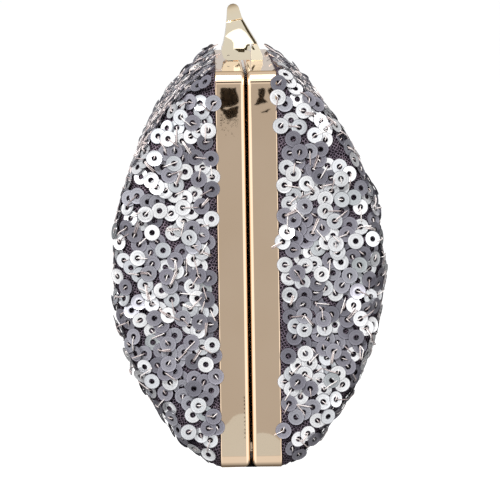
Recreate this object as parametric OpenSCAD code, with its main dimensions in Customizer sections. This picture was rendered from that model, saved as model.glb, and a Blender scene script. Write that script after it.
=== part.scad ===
// Hard-shell evening bag: two domed half shells covered in sequin cloth, each rimmed by a
// gold channel frame, hinged along the base and closed by a lever clasp on the top rail.
// Millimetres. X runs along the bag, the front faces -Y, +Z is up, and z = 0 is the base.

/* [Bag] */
// Length of the frame, end to end
bag_l = 180; // [150:1:210]
// Height of the frame, base to top rail
frame_h = 96; // [90:1:104]
// Thickness of the closed bag over the cloth at its fullest
belly_t = 64; // [58:1:68]
// Radius of the curve that the front and back follow
arc_r = 60; // [58:1:64]
// Rounding where the front and back meet the ends
end_round = 5; // [4.9:0.1:8]

/* [Frame] */
// Thickness of the frame's sheet metal
frame_wall = 0.8; // [0.7:0.05:0.9]
// Outer face of the frame on each side of the middle plane
frame_reach = 7.4; // [7:0.1:9]
// Thickness of the lip that meets the other half
lip_t = 1.6; // [1.5:0.1:1.8]
// Depth of the lip from the outside of the frame
lip_depth = 4.6; // [4.5:0.1:6]
// Outer corner radius of the frame
corner_r = 2.6; // [2.2:0.1:4]
// Rounding along the frame's meeting edge
edge_r = 1; // [0.6:0.1:1.2]
// Gap between the two closed halves
part_gap = 0.8; // [0.8:0.05:1]

/* [Walls] */
// Thickness of the sequin cloth
cloth_t = 0.4; // [0.3:0.05:0.4]
// Thickness of the foam-backed cloth under it
underlay_t = 0.58; // [0.4:0.02:0.6]
// Thickness of the moulded shell
shell_t = 1.6; // [1.2:0.1:2]
// Thickness of the lined inner tray
lining_t = 0.9; // [0.6:0.1:1]

/* [Hinge] */
// Length of each of the two butt hinges
hinge_l = 24; // [18:1:36]
// Distance of each hinge's middle from the bag's middle
hinge_x = 62; // [45:1:66]
// Outer radius of the hinge knuckles
knuckle_r = 1.25; // [1.2:0.01:1.3]
// Radius of the hinge pins
hinge_pin_r = 0.6; // [0.5:0.05:0.7]

/* [Clasp] */
// Half length of the lever at its foot
lever_half = 11.5; // [11:0.1:13]
// Height of the lever above the top rail
lever_h = 14.6; // [14:0.1:15]
// Radius of the lever's pivot pin
clasp_pin_r = 0.5; // [0.4:0.05:0.5]

/* [Chain eyes] */
// Radius of the hole that takes a shoulder chain's end link
eye_r = 1.5; // [1.2:0.1:1.8]
// Distance of each eye from the bag's middle
eye_x = 76; // [60:1:78]

/* [Hidden] */
$fn = 64;
eps = 0.01;
half_l = bag_l / 2;
mid_z = frame_h / 2;
far = 1; // how far a cutting shape runs past what it cuts

gold = "#d8bf98";
steel = "#b9b9b4";

// Depths below the surface of the sequin cloth at which each layer starts and ends.
recess = 0.4; // the cloth lies this far below the frame's outer faces
layer_gap = 0.02;
cloth_in = cloth_t;
underlay_out = cloth_in + layer_gap;
underlay_in = underlay_out + underlay_t;
shell_out = underlay_in + layer_gap;
shell_in = shell_out + shell_t;
lining_out = shell_in + layer_gap;
lining_in = lining_out + lining_t;

half_gap = part_gap / 2;
lip_back = half_gap + lip_t;
tray_rim = lip_back + 0.05;     // the inner layers end just behind the lip
cloth_rim = frame_reach + 0.05; // the sequin cloth ends beside the frame

// Hinge: its axis lies in the middle plane, with the knuckles just clear of z = 0.
hinge_z = knuckle_r + 0.1;
knuckle_clear = 0.15;
knuckle_bore = hinge_pin_r + 0.05;
knuckle_split = 0.15; // end play between neighbouring knuckles
knuckle_l = hinge_l / 3;
leaf_t = half_gap - 0.05;
leaf_top = lip_depth - 0.2;
leaf_low = hinge_z + knuckle_r + knuckle_clear; // clears the other half's knuckle
leaf_root = hinge_z + 0.9;                      // runs into its own knuckles
pin_head_r = 0.9;
pin_head_l = 0.4;
open_bevel = hinge_z + 0.15; // 45 degree bevel that lets each half swing 90 degrees

// Clasp, in (y, height above the top rail).
pivot = [-3.7, 1.1];
heel_r = 1;
tip_r = 1.6;
tip = [-2.3, lever_h - tip_r];
lever_under = 4.35;  // underside of the lever's nose, just over the catch
notch_top = 2.95;    // top of the notch in each end wall
end_wall_in = 10;    // the end walls start here
cavity_top = 7;
wall_top = 10.6;     // where the lever's ends stop and its rounded roof starts
roof_steps = 24;
base_half = 9.8;
base_top = 2.7;
ear_in = 7.6;
ear_out = 9.6;
window_clear = 0.2;
window_top = 2.3;
spring_window = 3.4; // half length of the gap in the lever's heel for the spring
catch_half = 10.8;
catch_top = 4.2;
rivet_r = 0.9;
screw_r = 0.5;
fit_gap = 0.02;

// Spring: a coil round the pin with one leg on the base and one in the lever.
wire_r = 0.17;
coil_r = clasp_pin_r + wire_r + 0.06;
coil_half = 2.6;
coil_turns = 7;
coil_steps = 12; // rings in each turn
wire_sides = 6;

// Chain eyes
eye_t = 1.2;
eye_y = half_gap + 0.1;
eye_outer = eye_r + 1.4;
eye_z = frame_h - lip_depth - eye_outer;

// Slip pocket on the back lining
pocket_half = 55;
pocket_z = [12, 60];
pocket_t = 0.5;
pocket_hem = 3;
pocket_room = 0.6;

// ---- shared shapes ----

// A rectangle with arc corners, centred on x and standing on y = 0.
module rounded_rect(w, h, r) {
    translate([-w / 2 + r, 0]) square([w - 2 * r, h]);
    translate([-w / 2, r]) square([w, h - 2 * r]);
    for (x = [-1, 1], y = [r, h - r])
        translate([x * (w / 2 - r), y]) circle(r);
}

// The frame's outline drawn in by a margin, as a slab from y_near to y_far in front of the middle.
module outline_slab(margin, r, y_near, y_far) {
    translate([0, -y_near, margin])
        rotate([90, 0, 0])
            linear_extrude(y_far - y_near)
                rounded_rect(bag_l - 2 * margin, frame_h - 2 * margin, r);
}

// A profile in (y, z) drawn out along x from x0 to x1.
module along_x(x0, x1) {
    translate([x0, 0, 0])
        rotate([90, 0, 90])
            linear_extrude(x1 - x0)
                children();
}

// A rod along x.
module rod(r, x0, x1, y, z) {
    translate([x0, y, z]) rotate([0, 90, 0]) cylinder(r = r, h = x1 - x0);
}

// A half shell's outer form, a given depth below the cloth's surface, from the belly to y = -y_rim.
// It is a slice of a long drum with rounded ends, lying along x.
module half_form(depth, y_rim) {
    r = arc_r - depth;
    h = half_l - recess - depth;
    f = end_round - depth;
    low = recess + depth;
    intersection() {
        translate([0, arc_r - belly_t / 2, mid_z])
            rotate([0, 90, 0])
                rotate_extrude() {
                    translate([0, -h]) square([r - f, 2 * h]);
                    translate([0, -h + f]) square([r, 2 * (h - f)]);
                    for (s = [-1, 1])
                        translate([r - f, s * (h - f)]) circle(f);
                }
        translate([-half_l - far, -belly_t, low])
            cube([bag_l + 2 * far, belly_t - y_rim, frame_h - 2 * low]);
    }
}

// One layer of a half shell: an open tray between two depths.
module tray(depth_out, depth_in, y_rim) {
    difference() {
        half_form(depth_out, y_rim);
        half_form(depth_in, y_rim - far);
    }
}

// ---- frame ----

// The frame's edge in section: x runs out from the corner's axis, y back from the meeting face.
module edge_section() {
    depth = frame_reach - half_gap;
    mirror([0, 1]) {
        square([corner_r - edge_r, depth]);
        translate([0, edge_r]) square([corner_r, depth - edge_r]);
        translate([corner_r - edge_r, edge_r]) circle(edge_r);
    }
}

// The front frame's outline filled in: a plate with rounded corners and a rounded meeting edge.
module frame_blank() {
    w = half_l - corner_r;
    h = mid_z - corner_r;
    translate([0, -half_gap, mid_z]) {
        translate([-w, half_gap - frame_reach, -h]) cube([2 * w, frame_reach - half_gap, 2 * h]);
        for (turn = [0, 180])
            rotate([0, turn, 0]) translate([w, 0, -h]) linear_extrude(2 * h) edge_section();
        for (turn = [90, -90])
            rotate([0, turn, 0]) translate([h, 0, -w]) linear_extrude(2 * w) edge_section();
        for (x = [-w, w], z = [-h, h])
            translate([x, 0, z]) rotate([90, 0, 0]) rotate_extrude() mirror([0, 1]) edge_section();
    }
}

module half_frame() {
    difference() {
        frame_blank();
        outline_slab(frame_wall, corner_r - frame_wall, lip_back, frame_reach + far);
        outline_slab(lip_depth, 1, -far, frame_reach + far);
        along_x(-half_l - far, half_l + far)
            polygon([[far, -far], [-open_bevel - far, -far], [far, open_bevel + far]]);
        for (x = [-hinge_x, hinge_x])
            rod(knuckle_r + knuckle_clear, x - hinge_l / 2 - 0.8, x + hinge_l / 2 + 0.8, 0, hinge_z);
    }
}

module front_frame() {
    color(gold)
        difference() {
            half_frame();
            base_screw_shanks(screw_r + fit_gap);
        }
}

module back_frame() {
    color(gold)
        difference() {
            mirror([0, 1, 0]) half_frame();
            catch_rivet_shanks(rivet_r + fit_gap);
        }
}

// ---- walls of the two halves ----

module half_shell() {
    color("#3b3a40") tray(shell_out, shell_in, tray_rim);
}

module half_underlay() {
    color("#7d7788") tray(underlay_out, underlay_in, tray_rim);
}

module half_cloth() {
    color("#a3a3ad") tray(0, cloth_in, cloth_rim);
}

module half_lining() {
    color("#8f8a94") tray(lining_out, lining_in, tray_rim);
}

// A cloth panel hemmed to the back lining on three sides and open at the top.
module slip_pocket() {
    inner = lining_in + layer_gap;
    face = inner + pocket_room;
    color("#8f8a94")
        mirror([0, 1, 0])
            difference() {
                pocket_block(inner, pocket_half, pocket_z[0], pocket_z[1]);
                half_form(face + pocket_t, lip_back - far);
                difference() {
                    pocket_block(0, pocket_half - pocket_hem, pocket_z[0] + pocket_hem, pocket_z[1] + far);
                    half_form(face, lip_back - far);
                }
            }
}

module pocket_block(depth, half_w, z0, z1) {
    intersection() {
        half_form(depth, lip_back);
        translate([-half_w, -belly_t, z0]) cube([2 * half_w, belly_t, z1 - z0]);
    }
}

// ---- hinges ----

// One leaf of a butt hinge, middled on x. Knuckles are the slots that it fills, from 0 to 2.
module hinge_leaf(x, knuckles) {
    x0 = x - hinge_l / 2;
    color(gold)
        difference() {
            union() {
                translate([x0, -half_gap, leaf_low]) cube([hinge_l, leaf_t, leaf_top - leaf_low]);
                for (k = knuckles) {
                    a = x0 + k * knuckle_l + knuckle_split / 2;
                    b = x0 + (k + 1) * knuckle_l - knuckle_split / 2;
                    rod(knuckle_r, a, b, 0, hinge_z);
                    translate([a, -half_gap, leaf_root]) cube([b - a, leaf_t, leaf_top - leaf_root]);
                }
            }
            rod(knuckle_bore, x0 - far, x0 + hinge_l + far, 0, hinge_z);
        }
}

module hinge_pin(x) {
    a = x - hinge_l / 2;
    b = x + hinge_l / 2;
    color(steel) {
        rod(hinge_pin_r, a - pin_head_l, b + pin_head_l, 0, hinge_z);
        rod(pin_head_r, a - pin_head_l, a, 0, hinge_z);
        rod(pin_head_r, b, b + pin_head_l, 0, hinge_z);
    }
}

// ---- clasp ----

// Children drawn in (y, height above the top rail) and drawn out along x.
module on_rail(x0, x1) {
    translate([0, 0, frame_h]) along_x(x0, x1) children();
}

// The lever's side drawn out along x, longer than the lever. The outline's corners lie a little
// way inside the round tip and the round heel.
module lever_bar() {
    inside = 0.05;
    half = lever_half + far;
    rod(tip_r, -half, half, tip[0], frame_h + tip[1]);
    rod(heel_r, -half, half, pivot[0], frame_h + pivot[1]);
    on_rail(-half, half)
        polygon([
            pivot, [pivot[0] - heel_r + inside, pivot[1]], [-4.9, 3.2], [-4.2, 7.6],
            [tip[0] - tip_r + inside, tip[1]], tip, [-0.85, tip[1] + 0.35], [0, 10.9],
            [3.85, lever_under], [1.9, lever_under], [1.9, notch_top], [-1.2, notch_top],
            [-1.2, pivot[1] - heel_r + inside], [pivot[0], pivot[1] - heel_r + inside]
        ]);
}

// The lever seen from the front: ends that lean in a little, under a shallow rounded roof.
module lever_arch() {
    roof_half = lever_half - 0.9;
    polygon(concat(
        [[-lever_half, -far]],
        [for (i = [0 : roof_steps])
            let (x = 2 * i / roof_steps - 1)
            [roof_half * x, lever_h - (lever_h - wall_top) * x * x]],
        [[lever_half, -far]]
    ));
}

module lever_cavity() {
    difference() {
        polygon([
            [pivot[0], -far], [pivot[0], 2.2], [-3.75, 2.9], [-3.1, cavity_top],
            [1.2, cavity_top], [2.75, lever_under - 0.15], [2.75, -far]
        ]);
        translate(pivot) circle(heel_r);
    }
}

module clasp_lever() {
    color(gold)
        difference() {
            intersection() {
                lever_bar();
                translate([0, 10, frame_h]) rotate([90, 0, 0]) linear_extrude(20) lever_arch();
            }
            on_rail(-end_wall_in, end_wall_in) lever_cavity();
            heel_window(-spring_window, spring_window);
            heel_window(ear_in - window_clear, ear_out + window_clear);
            heel_window(-ear_out - window_clear, -ear_in + window_clear);
            pivot_rod(clasp_pin_r + fit_gap, lever_half + far);
        }
}

module heel_window(x0, x1) {
    translate([x0, -8, frame_h - far]) cube([x1 - x0, 5.4, window_top + far]);
}

module pivot_rod(r, half) {
    rod(r, -half, half, pivot[0], frame_h + pivot[1]);
}

module clasp_base() {
    nose = [1, 1.7];
    lift = 0.15; // the nose overhangs the back frame with this clearance
    color(gold)
        difference() {
            union() {
                on_rail(-base_half, base_half) {
                    polygon([
                        [-2.5, 0], [-0.5, 0], [-0.3, lift], [1.95, lift], [1.95, nose[1]], nose,
                        [nose[0], base_top - 0.05], [0, base_top], [-2.5, base_top]
                    ]);
                    translate(nose) circle(1);
                }
                for (x = [-ear_out, ear_in])
                    on_rail(x, x + ear_out - ear_in) {
                        translate(pivot) circle(heel_r);
                        translate([pivot[0], pivot[1] - heel_r]) square([1.4, 2 * heel_r]);
                    }
            }
            pivot_rod(clasp_pin_r + 0.05, base_half + far);
            base_screw_shanks(screw_r + fit_gap);
        }
}

// Two countersunk screws hold the base down into the lip of the front frame.
module base_screw_shanks(r) {
    for (x = [-5, 5])
        translate([x, -half_gap - lip_t / 2, frame_h - 2.6]) cylinder(r = r, h = base_top + 2.6 + far);
}

module clasp_base_screws() {
    color(steel)
        intersection() {
            base_screw_shanks(screw_r);
            translate([-half_l, -belly_t, frame_h - 2.6]) cube([bag_l, 2 * belly_t, 2.6 + base_top]);
        }
}

module clasp_pin() {
    color(steel) pivot_rod(clasp_pin_r, lever_half - 0.3);
}

module clasp_catch() {
    color(gold)
        difference() {
            on_rail(-catch_half, catch_half)
                polygon([
                    [2.15, 0], [2.15, 3.5], [2.5, 4], [3, catch_top], [3.7, catch_top],
                    [4.1, 3.8], [5.1, 1.2], [5.1, 0]
                ]);
            catch_rivet_shanks(rivet_r + fit_gap);
        }
}

// Two rivets hold the catch to the top wall of the back frame.
module catch_rivet_shanks(r) {
    for (x = [-6, 6])
        translate([x, 3.6, frame_h - frame_wall]) cylinder(r = r, h = frame_wall + 2.2);
}

module catch_rivets() {
    color(steel) catch_rivet_shanks(rivet_r);
}

// The spring's centreline: a leg that lies on the base, the coil, and a leg up inside the lever.
function coil_point(i) =
    let (t = i / (coil_turns * coil_steps), a = 90 + 360 * coil_turns * t)
    [coil_half * (2 * t - 1), pivot[0] + coil_r * cos(a), frame_h + pivot[1] + coil_r * sin(a)];
spring_line = concat(
    [[-coil_half, -0.6, frame_h + base_top + 0.2], [-coil_half, -2.3, frame_h + base_top + 0.2],
     [-coil_half, -3.1, frame_h + 2.2]],
    [for (i = [0 : coil_turns * coil_steps]) coil_point(i)],
    [[coil_half, -3.5, frame_h + 2.4], [coil_half, -2.85, frame_h + 6.7]]
);

function unit(v) = v / norm(v);
function heading(path, i) = unit(path[min(i + 1, len(path) - 1)] - path[max(i - 1, 0)]);
function wire_ring(path, i, r) =
    let (d = heading(path, i), u = unit(cross(d, [1, 0, 0.01])), v = cross(d, u))
    [for (k = [0 : wire_sides - 1]) let (a = 360 * k / wire_sides) path[i] + r * (u * cos(a) + v * sin(a))];

module swept_wire(path, r) {
    n = len(path);
    s = wire_sides;
    polyhedron(
        points = [for (i = [0 : n - 1]) each wire_ring(path, i, r)],
        faces = concat(
            [[for (k = [0 : s - 1]) k]],
            [for (i = [0 : n - 2], k = [0 : s - 1])
                let (a = i * s + k, b = i * s + (k + 1) % s)
                each [[a, a + s, b + s], [a, b + s, b]]],
            [[for (k = [s - 1 : -1 : 0]) (n - 1) * s + k]]
        )
    );
}

module clasp_spring() {
    color(steel) swept_wire(spring_line, wire_r);
}

// ---- chain eyes ----

// An eye soldered under the top lip of the back frame, inside the bag.
module chain_eye(x) {
    color(gold)
        translate([x, eye_y + eye_t, eye_z])
            rotate([90, 0, 0])
                difference() {
                    union() {
                        cylinder(r = eye_outer, h = eye_t);
                        translate([-eye_outer, 0, 0]) cube([2 * eye_outer, eye_outer, eye_t]);
                    }
                    translate([0, 0, -far]) cylinder(r = eye_r, h = eye_t + 2 * far);
                }
}

front_frame();
back_frame();
half_shell();  // front_shell
mirror([0, 1, 0]) half_shell();  // back_shell
half_underlay();  // front_underlay
mirror([0, 1, 0]) half_underlay();  // back_underlay
half_cloth();  // front_sequin_cloth
mirror([0, 1, 0]) half_cloth();  // back_sequin_cloth
half_lining();  // front_lining
mirror([0, 1, 0]) half_lining();  // back_lining
slip_pocket();
hinge_leaf(-hinge_x, [0, 2]);  // front_left_hinge_leaf
hinge_leaf(hinge_x, [0, 2]);  // front_right_hinge_leaf
mirror([0, 1, 0]) hinge_leaf(-hinge_x, [1]);  // back_left_hinge_leaf
mirror([0, 1, 0]) hinge_leaf(hinge_x, [1]);  // back_right_hinge_leaf
hinge_pin(-hinge_x);  // left_hinge_pin
hinge_pin(hinge_x);  // right_hinge_pin
clasp_base();
clasp_base_screws();
clasp_lever();
clasp_pin();
clasp_spring();
clasp_catch();
catch_rivets();
chain_eye(-eye_x);  // left_chain_eye
chain_eye(eye_x);  // right_chain_eye
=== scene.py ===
import contextlib
import functools
import itertools
import random
from math import acos, asin, cos, dist, floor, hypot, pi, radians, sin

import bmesh
import bpy
import mathutils.noise
import numpy as np
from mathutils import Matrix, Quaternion, Vector
from numpy.linalg import norm


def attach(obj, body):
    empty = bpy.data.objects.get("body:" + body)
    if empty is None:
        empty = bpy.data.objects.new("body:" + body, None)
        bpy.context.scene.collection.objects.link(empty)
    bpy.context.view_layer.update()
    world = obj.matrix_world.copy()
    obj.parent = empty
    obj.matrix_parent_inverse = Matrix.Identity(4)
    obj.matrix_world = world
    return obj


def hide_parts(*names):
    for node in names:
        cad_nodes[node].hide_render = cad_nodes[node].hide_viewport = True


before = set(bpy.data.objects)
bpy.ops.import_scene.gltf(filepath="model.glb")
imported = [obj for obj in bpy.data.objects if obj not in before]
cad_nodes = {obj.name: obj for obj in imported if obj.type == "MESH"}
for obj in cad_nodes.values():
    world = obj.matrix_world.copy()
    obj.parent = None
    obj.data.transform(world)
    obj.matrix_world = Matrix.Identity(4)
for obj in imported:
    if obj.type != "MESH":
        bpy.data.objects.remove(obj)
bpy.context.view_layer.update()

# Lengths in this script are millimetres, in the CAD's frame, and become metres in mesh_piece.
MM = 0.001

# The bag's form, as in the CAD: each half is a slice of a long drum with rounded ends.
HALF_LENGTH = 90.0
FRAME_HEIGHT = 96.0
FRAME_REACH = 7.4
FRAME_WALL = 0.8
CLOTH_RIM = 7.45
TRAY_RIM = 2.05
RECESS = 0.4
MID_Z = FRAME_HEIGHT / 2
AXIS = 28.0
DRUM_R = 60.0
DRUM_HALF = 89.6
DRUM_FILLET = 5.0
FLAT_R = DRUM_R - DRUM_FILLET
STRAIGHT_HALF = DRUM_HALF - DRUM_FILLET

# The two halves: name, the body each rides on, and the sign of y on its side.
HALVES = [("front", "front_half", -1), ("back", "back_half", 1)]


# -------- materials

def plug(socket, value):
    """Links a socket, or sets it to a constant."""
    if isinstance(value, bpy.types.NodeSocket):
        socket.id_data.links.new(value, socket)
    else:
        socket.default_value = value


def add(tree, kind, inputs=None, out=0, **settings):
    """Adds a shader node, with inputs as {socket: value}, and gives one of its outputs."""
    node = tree.nodes.new("ShaderNode" + kind)
    for name, value in settings.items():
        setattr(node, name, value)
    for name, value in (inputs or {}).items():
        plug(node.inputs[name], value)
    return node.outputs[out]


def new_material(name):
    """An empty material with a Principled shader joined to its output."""
    material = bpy.data.materials.new(name)
    material.use_nodes = True
    tree = material.node_tree
    tree.nodes.clear()
    output = tree.nodes.new("ShaderNodeOutputMaterial")
    shader = tree.nodes.new("ShaderNodeBsdfPrincipled")
    plug(output.inputs["Surface"], shader.outputs["BSDF"])
    return tree, shader, material


def object_coords(tree, scale=(1.0, 1.0, 1.0)):
    """Object coordinates, in millimetres times scale."""
    coords = add(tree, "TexCoord", out="Object")
    return add(tree, "Mapping", {"Vector": coords, "Scale": tuple(s / MM for s in scale)})


def net_coords(tree, scale=1.0, turn=0.0):
    """Coordinates in millimetres along a sheet, times scale and turned."""
    uv = add(tree, "UVMap", uv_map="net")
    return add(tree, "Mapping", {"Vector": uv, "Scale": (scale,) * 3, "Rotation": (0, 0, turn)})


def noise(vector, scale, detail=2.0, roughness=0.5):
    inputs = {"Vector": vector, "Scale": scale, "Detail": detail, "Roughness": roughness}
    return add(vector.id_data, "TexNoise", inputs, out="Fac")


def ramp(value, stops):
    """A colour ramp. Each stop is (position, colour)."""
    node = value.id_data.nodes.new("ShaderNodeValToRGB")
    elements = node.color_ramp.elements
    while len(elements) < len(stops):
        elements.new(0.5)
    for element, (position, colour) in zip(elements, stops):
        element.position = position
        element.color = (*colour, 1)
    plug(node.inputs["Fac"], value)
    return node.outputs["Color"]


def span(value, low, high, to_low=0.0, to_high=1.0):
    """value from low..high to to_low..to_high, held at the ends."""
    inputs = {"Value": value, "From Min": low, "From Max": high, "To Min": to_low, "To Max": to_high}
    return add(value.id_data, "MapRange", inputs)


def maths(operation, a, b=0.0):
    tree = (b if isinstance(a, float) else a).id_data
    return add(tree, "Math", {0: a, 1: b}, operation=operation)


def product(*values):
    return functools.reduce(functools.partial(maths, "MULTIPLY"), values)


def largest(*values):
    return functools.reduce(functools.partial(maths, "MAXIMUM"), values)


def split(vector):
    """The x, y and z of a vector."""
    node = vector.id_data.nodes.new("ShaderNodeSeparateXYZ")
    plug(node.inputs["Vector"], vector)
    return node.outputs


def mix_colour(fac, a, b, blend="MIX"):
    """Mixes two colours, each a socket or a tuple. 6, 7 and 2 are a Mix node's colour sockets."""
    tree = (a if isinstance(fac, float) else fac).id_data
    a, b = ((*c, 1) if isinstance(c, tuple) else c for c in (a, b))
    return add(tree, "Mix", {0: fac, 6: a, 7: b}, 2, data_type="RGBA", blend_type=blend)


def bump(shader, height, distance):
    """Joins a height, in millimetres once times distance, to the shader's normal."""
    inputs = {"Strength": 1.0, "Distance": distance * MM, "Height": height}
    plug(shader.inputs["Normal"], add(height.id_data, "Bump", inputs))


def attribute(tree, name):
    return add(tree, "Attribute", out="Fac", attribute_name=name)


def set_shader(shader, colour, roughness, **constants):
    """Plugs in colour and roughness, and sets the rest as constants."""
    plug(shader.inputs["Base Color"], colour)
    plug(shader.inputs["Roughness"], roughness)
    for name, value in constants.items():
        shader.inputs[name.replace("_", " ")].default_value = value


# The crease across the lever's end: its height over the rail at y = 0, and its rise with y.
CREASE_T = 10.85
CREASE_SLOPE = 0.2


def painted_crease_shade(where):
    """1 along the lever's crease, where a dark line of painted shade goes, and 0 elsewhere."""
    _, y, z = split(where)
    level = maths("SUBTRACT", z, maths("MULTIPLY", y, CREASE_SLOPE))
    off = maths("ABSOLUTE", maths("SUBTRACT", level, FRAME_HEIGHT + CREASE_T))
    return span(off, 0.06, 0.13, 1.0, 0.0)


def gold_material(name, light, deep, smooth, wave, wave_scale, crease=False):
    """Polished pale gold plating: slight ripples, fine wiping marks and tone that drifts, and with crease a
    dark line of painted shade along the lever's crease.

    wave is the ripples' height in millimetres and wave_scale how many there are to a millimetre.
    """
    tree, shader, material = new_material(name)
    where = object_coords(tree)
    colour = ramp(noise(where, 0.05, 3.0), [(0.3, deep), (0.7, light)])
    if crease:
        # Painted shade: a dark line along the lever's crease.
        colour = mix_colour(painted_crease_shade(where), colour, (0.26, 0.20, 0.10))
    marks = noise(where, 1.6, 4.0, 0.65)
    rough = span(marks, 0.35, 0.75, smooth, smooth * 2.2)
    set_shader(shader, colour, rough, Metallic=1.0, Specular_Tint=(1.0, 0.80, 0.58, 1))
    bump(shader, noise(where, wave_scale, 1.5, 0.4), wave)
    return material


def steel_material():
    """Drawn steel wire and pins, with fine lines along x."""
    tree, shader, material = new_material("drawn_steel")
    lines = noise(object_coords(tree, (0.06, 2.5, 2.5)), 1.0, 3.0)
    colour = ramp(lines, [(0.3, (0.20, 0.19, 0.18)), (0.7, (0.34, 0.33, 0.31))])
    set_shader(shader, colour, span(lines, 0.3, 0.7, 0.22, 0.38), Metallic=1.0)
    bump(shader, lines, 0.01)
    return material


def sequin_material(name, film, rings, roughness, **finish):
    """Sequin film: a shade for each sequin, with painted shade at its rims and along its pressed ring."""
    tree, shader, material = new_material(name)
    shade = ramp(attribute(tree, "tone"), film)
    colour = mix_colour(1.0, shade, ramp(attribute(tree, "ring"), rings), "MULTIPLY")
    set_shader(shader, colour, roughness, **finish)
    return material


def silver_sequin_material():
    """Pearly silver film, nearly white."""
    film = [(0.0, (0.58, 0.60, 0.63)), (0.3, (0.78, 0.79, 0.81)), (0.75, (0.92, 0.92, 0.93)),
            (0.93, (0.86, 0.86, 0.87)), (0.97, (0.54, 0.56, 0.58)), (1.0, (0.43, 0.455, 0.47))]
    # Painted shade in the rings stops: dark at the hole's edge, along the pressed groove and at the outer
    # rim.
    rings = [(0.0, (0.22, 0.21, 0.23)), (0.10, (0.98, 0.98, 0.98)), (0.45, (1, 1, 1)),
             (0.52, (0.80, 0.81, 0.83)), (0.60, (1, 1, 1)), (0.88, (1, 1, 1)),
             (0.94, (0.50, 0.49, 0.52)), (1.0, (0.10, 0.09, 0.11))]
    return sequin_material("silver_sequin", film, rings, 0.22, Metallic=0.55, Coat_Weight=0.35,
                           Coat_Roughness=0.06)


def lilac_sequin_material():
    """Flat grey-lilac film, duller than the silver."""
    film = [(0.0, (0.135, 0.132, 0.158)), (0.4, (0.195, 0.188, 0.222)), (0.8, (0.25, 0.242, 0.28)),
            (1.0, (0.31, 0.31, 0.345))]
    # Painted shade in the rings stops at the hole's edge, along the pressed groove and at the outer rim,
    # and a painted highlight just inside the rim.
    rings = [(0.0, (0.14, 0.13, 0.15)), (0.10, (0.95, 0.95, 0.96)), (0.45, (1, 1, 1)),
             (0.52, (0.74, 0.74, 0.76)), (0.60, (1, 1, 1)), (0.84, (1, 1, 1)),
             (0.91, (1.6, 1.6, 1.64)), (0.95, (0.5, 0.48, 0.52)), (1.0, (0.10, 0.09, 0.11))]
    return sequin_material("lilac_sequin", film, rings, 0.36, Metallic=0.25, Coat_Weight=0.2,
                           Coat_Roughness=0.15)


def thread_material(name, deep, middle, light):
    """Sewing thread whose shade changes a little from stitch to stitch and along each one."""
    tree, shader, material = new_material(name)
    colour = ramp(attribute(tree, "tone"), [(0.0, deep), (0.5, middle), (1.0, light)])
    set_shader(shader, colour, 0.55, Sheen_Weight=0.1)
    bump(shader, noise(object_coords(tree), 9.0), 0.04)
    return material


def net_material():
    """Lilac net: fine strands with near-black between them, partly the dark backing and partly painted
    shade under the sequins.
    """
    tree, shader, material = new_material("lilac_net")
    wobble = span(noise(net_coords(tree), 0.8), 0.0, 1.0, -0.4, 0.4)
    where = add(tree, "VectorMath", {0: net_coords(tree, 1 / 0.70, 0.5), 1: wobble}, operation="ADD")
    cells = add(tree, "TexVoronoi", out="Distance", voronoi_dimensions="2D", feature="DISTANCE_TO_EDGE",
                inputs={"Vector": where, "Scale": 1.0, "Randomness": 0.5})
    strand = span(cells, 0.05, 0.20, 1.0, 0.0)
    yarn = ramp(noise(net_coords(tree), 0.25, 3.0), [
        (0.30, (0.10, 0.08, 0.11)), (0.55, (0.22, 0.17, 0.22)), (0.75, (0.40, 0.30, 0.36)),
    ])
    # Near-black between the strands: the dark backing plus painted shade under the sequins.
    colour = mix_colour(strand, (0.006, 0.004, 0.007), yarn)
    set_shader(shader, colour, 0.75, Specular_IOR_Level=0.12)
    bump(shader, strand, 0.18)
    return material


def foam_material():
    """Fine-celled charcoal foam between the shell and the cloth."""
    tree, shader, material = new_material("charcoal_foam")
    cells = add(tree, "TexVoronoi", {"Vector": object_coords(tree), "Scale": 2.2}, "Distance")
    colour = ramp(cells, [(0.1, (0.09, 0.08, 0.10)), (0.6, (0.20, 0.18, 0.22))])
    set_shader(shader, colour, 0.9)
    bump(shader, cells, 0.1)
    return material


def board_material():
    """Moulded shell of matt dark plastic with a fine spark-eroded grain."""
    tree, shader, material = new_material("moulded_shell")
    grain = noise(object_coords(tree), 4.0, 4.0, 0.7)
    colour = ramp(grain, [(0.35, (0.030, 0.029, 0.034)), (0.7, (0.058, 0.056, 0.064))])
    set_shader(shader, colour, span(grain, 0.3, 0.7, 0.45, 0.65))
    bump(shader, grain, 0.03)
    return material


def satin_material():
    """Silver-grey satin lining: a fine slanting weave, soft sheen and gentle tone changes."""
    tree, shader, material = new_material("grey_satin")
    weave = add(tree, "TexWave", out="Fac", wave_type="BANDS", bands_direction="DIAGONAL",
                inputs={"Vector": net_coords(tree), "Scale": 0.55, "Distortion": 1.2, "Detail": 2.0})
    drift = noise(net_coords(tree), 0.06, 3.0)
    base = ramp(drift, [(0.3, (0.33, 0.32, 0.35)), (0.7, (0.46, 0.45, 0.48))])
    colour = mix_colour(span(weave, 0, 1, 0.0, 0.25), base, (0.62, 0.61, 0.64))
    rough = span(weave, 0, 1, 0.30, 0.42)
    set_shader(shader, colour, rough, Sheen_Weight=0.35, Sheen_Roughness=0.35)
    bump(shader, weave, 0.02)
    return material


# -------- meshes

def new_object(name, data):
    made = bpy.data.objects.new(name, data)
    bpy.context.scene.collection.objects.link(made)
    return made


def mesh_piece(name, verts, faces, material):
    """A smooth mesh object from millimetre vertices."""
    mesh = bpy.data.meshes.new(name)
    mesh.from_pydata([tuple(v) for v in np.asarray(verts) * MM], [], faces)
    mesh.update()
    if material:
        mesh.materials.append(material)
    mesh.shade_smooth()
    return new_object(name, mesh)


@contextlib.contextmanager
def editing(piece):
    """The piece's mesh as a bmesh, which is written back at the end."""
    work = bmesh.new()
    work.from_mesh(piece.data)
    yield work
    work.to_mesh(piece.data)
    work.free()


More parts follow.
